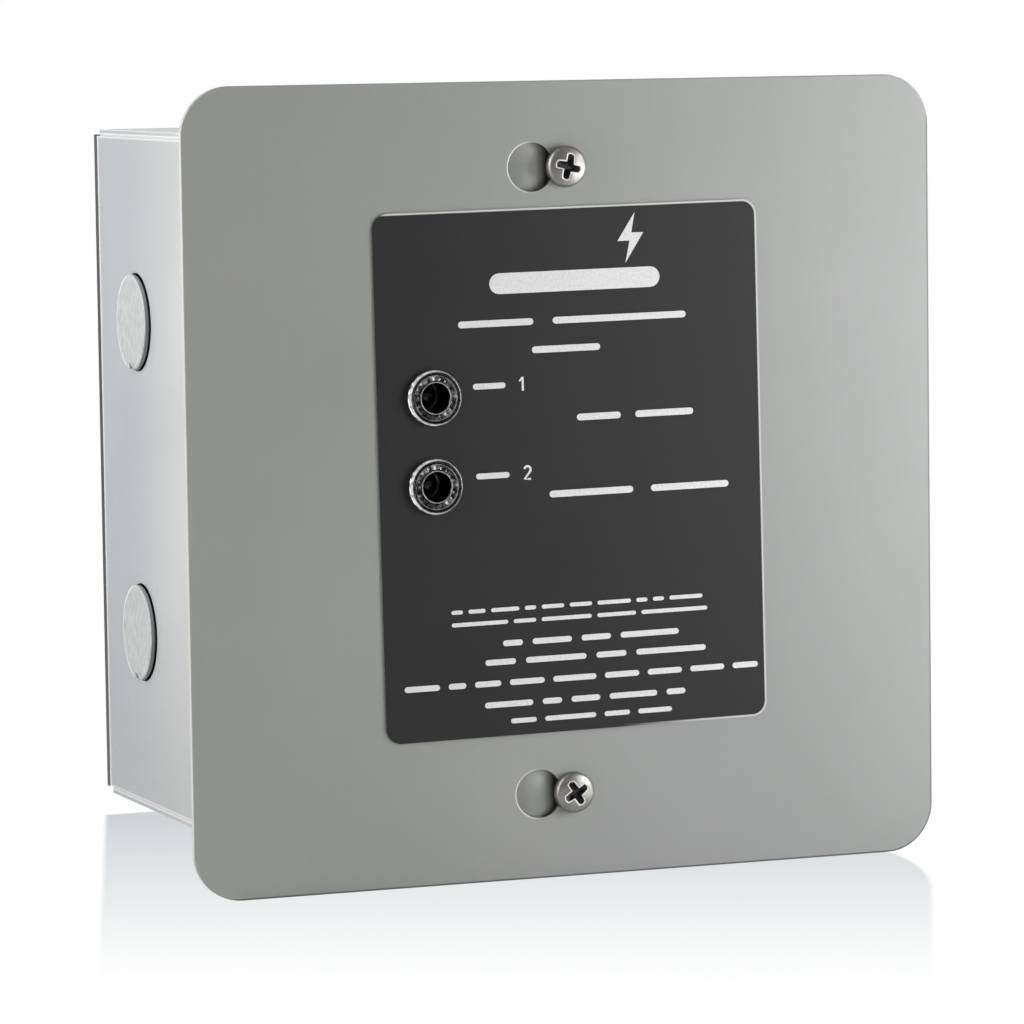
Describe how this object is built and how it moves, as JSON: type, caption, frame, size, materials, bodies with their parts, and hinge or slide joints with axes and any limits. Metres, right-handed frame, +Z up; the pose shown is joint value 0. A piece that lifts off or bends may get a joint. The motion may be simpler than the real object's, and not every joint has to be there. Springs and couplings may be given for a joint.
{
  "type": "whole house surge protector",
  "caption": "Flush-mount surge protector: folded steel box with knockouts, square keyhole cover with a dark nameplate and indicator lenses, and a varistor module behind it.",
  "frame": {"origin": "centre of the box's flat back face, which is the face that lies against the wall's structure", "axes": "-Y out through the cover, +X to the right as the cover is read, +Z up"},
  "size_m": [0.1778, 0.1082, 0.1778],
  "materials": {
    "box_paint": "light grey enamel with a faint orange peel",
    "cover_paint": "smooth satin grey",
    "nameplate_film": "fine grained charcoal film",
    "clear_lens": "clear moulded acrylic",
    "lamp_body": "tinted epoxy",
    "black_plastic": "moulded, satin",
    "screw_steel": "bright turned steel",
    "zinc_steel": "zinc plated",
    "bonding_green": "green dyed zinc",
    "fibre_sheet": "dull vulcanised fibre",
    "board_lacquer": "green solder mask",
    "varistor_epoxy": "dipped epoxy",
    "fuse_ceramic": "unglazed",
    "tan_epoxy": "tan lacquer"
  },
  "bodies": {
    "box": {"box_wrap": "box_paint", "side_panel_left": "box_paint", "side_panel_right": "box_paint"},
    "knockout_left_upper": {"knockout_left_upper": "box_paint"},
    "knockout_left_lower": {"knockout_left_lower": "box_paint"},
    "knockout_right_upper": {"knockout_right_upper": "box_paint"},
    "knockout_right_lower": {"knockout_right_lower": "box_paint"},
    "knockout_top_left": {"knockout_top_left": "box_paint"},
    "knockout_top_right": {"knockout_top_right": "box_paint"},
    "knockout_bottom_left": {"knockout_bottom_left": "box_paint"},
    "knockout_bottom_right": {"knockout_bottom_right": "box_paint"},
    "ground_screw": {"ground_screw": "bonding_green"},
    "cover": {"cover_plate": "cover_paint", "nameplate": "nameplate_film", "lens_line_1": "clear_lens", "lens_line_2": "clear_lens", "lens_ring_line_1": "black_plastic", "lens_ring_line_2": "black_plastic", "lamp_line_1": "lamp_body", "lamp_line_2": "lamp_body", "insulator_sheet": "fibre_sheet", "circuit_board": "board_lacquer", "standoff_1": "zinc_steel", "standoff_2": "zinc_steel", "standoff_3": "zinc_steel", "standoff_4": "zinc_steel", "nut_1": "zinc_steel", "nut_2": "zinc_steel", "nut_3": "zinc_steel", "nut_4": "zinc_steel", "module_hood": "black_plastic", "varistor_1": "varistor_epoxy", "varistor_2": "varistor_epoxy", "varistor_3": "varistor_epoxy", "varistor_4": "varistor_epoxy", "varistor_5": "varistor_epoxy", "varistor_6": "varistor_epoxy", "thermal_cutoff_1": "tan_epoxy", "thermal_cutoff_2": "tan_epoxy", "fuse_line_1": "fuse_ceramic", "fuse_line_2": "fuse_ceramic", "lamp_resistor_1": "tan_epoxy", "lamp_resistor_2": "tan_epoxy", "terminal_block": "black_plastic"},
    "cover_screw_top": {"cover_screw_top": "screw_steel"},
    "cover_screw_bottom": {"cover_screw_bottom": "screw_steel"},
    "terminal_screw_1": {"terminal_screw_1": "zinc_steel"},
    "terminal_screw_2": {"terminal_screw_2": "zinc_steel"},
    "terminal_screw_3": {"terminal_screw_3": "zinc_steel"},
    "terminal_screw_4": {"terminal_screw_4": "zinc_steel"}
  },
  "joints": [
    {"name": "cover_slide", "type": "slide", "parent": "box", "child": "cover", "axis": [1, 0, 0], "range_m": [0, 0.008]},
    {"name": "cover_screw_top_travel", "type": "slide", "parent": "box", "child": "cover_screw_top", "axis": [0, -1, 0], "range_m": [0, 0.01]},
    {"name": "cover_screw_bottom_travel", "type": "slide", "parent": "box", "child": "cover_screw_bottom", "axis": [0, -1, 0], "range_m": [0, 0.01]},
    {"name": "ground_screw_travel", "type": "slide", "parent": "box", "child": "ground_screw", "axis": [0, -1, 0], "range_m": [0, 0.0035]},
    {"name": "terminal_screw_1_travel", "type": "slide", "parent": "cover", "child": "terminal_screw_1", "axis": [0, 1, 0], "range_m": [0, 0.003]},
    {"name": "terminal_screw_2_travel", "type": "slide", "parent": "cover", "child": "terminal_screw_2", "axis": [0, 1, 0], "range_m": [0, 0.003]},
    {"name": "terminal_screw_3_travel", "type": "slide", "parent": "cover", "child": "terminal_screw_3", "axis": [0, 1, 0], "range_m": [0, 0.003]},
    {"name": "terminal_screw_4_travel", "type": "slide", "parent": "cover", "child": "terminal_screw_4", "axis": [0, 1, 0], "range_m": [0, 0.003]},
    {"name": "knockout_left_upper_fold", "type": "hinge", "parent": "box", "child": "knockout_left_upper", "pos_m": [-0.0765, -0.0315, 0.0231], "axis": [0, 1, 0], "range_deg": [0, 75]},
    {"name": "knockout_left_lower_fold", "type": "hinge", "parent": "box", "child": "knockout_left_lower", "pos_m": [-0.0765, -0.0315, -0.0486], "axis": [0, 1, 0], "range_deg": [0, 75]},
    {"name": "knockout_right_upper_fold", "type": "hinge", "parent": "box", "child": "knockout_right_upper", "pos_m": [0.0765, -0.0315, 0.0231], "axis": [0, -1, 0], "range_deg": [0, 75]},
    {"name": "knockout_right_lower_fold", "type": "hinge", "parent": "box", "child": "knockout_right_lower", "pos_m": [0.0765, -0.0315, -0.0486], "axis": [0, -1, 0], "range_deg": [0, 75]},
    {"name": "knockout_top_left_fold", "type": "hinge", "parent": "box", "child": "knockout_top_left", "pos_m": [-0.036, -0.0202, 0.0776], "axis": [1, 0, 0], "range_deg": [0, 75]},
    {"name": "knockout_top_right_fold", "type": "hinge", "parent": "box", "child": "knockout_top_right", "pos_m": [0.036, -0.0202, 0.0776], "axis": [1, 0, 0], "range_deg": [0, 75]},
    {"name": "knockout_bottom_left_fold", "type": "hinge", "parent": "box", "child": "knockout_bottom_left", "pos_m": [-0.036, -0.0202, -0.0776], "axis": [-1, 0, 0], "range_deg": [0, 75]},
    {"name": "knockout_bottom_right_fold", "type": "hinge", "parent": "box", "child": "knockout_bottom_right", "pos_m": [0.036, -0.0202, -0.0776], "axis": [-1, 0, 0], "range_deg": [0, 75]}
  ]
}
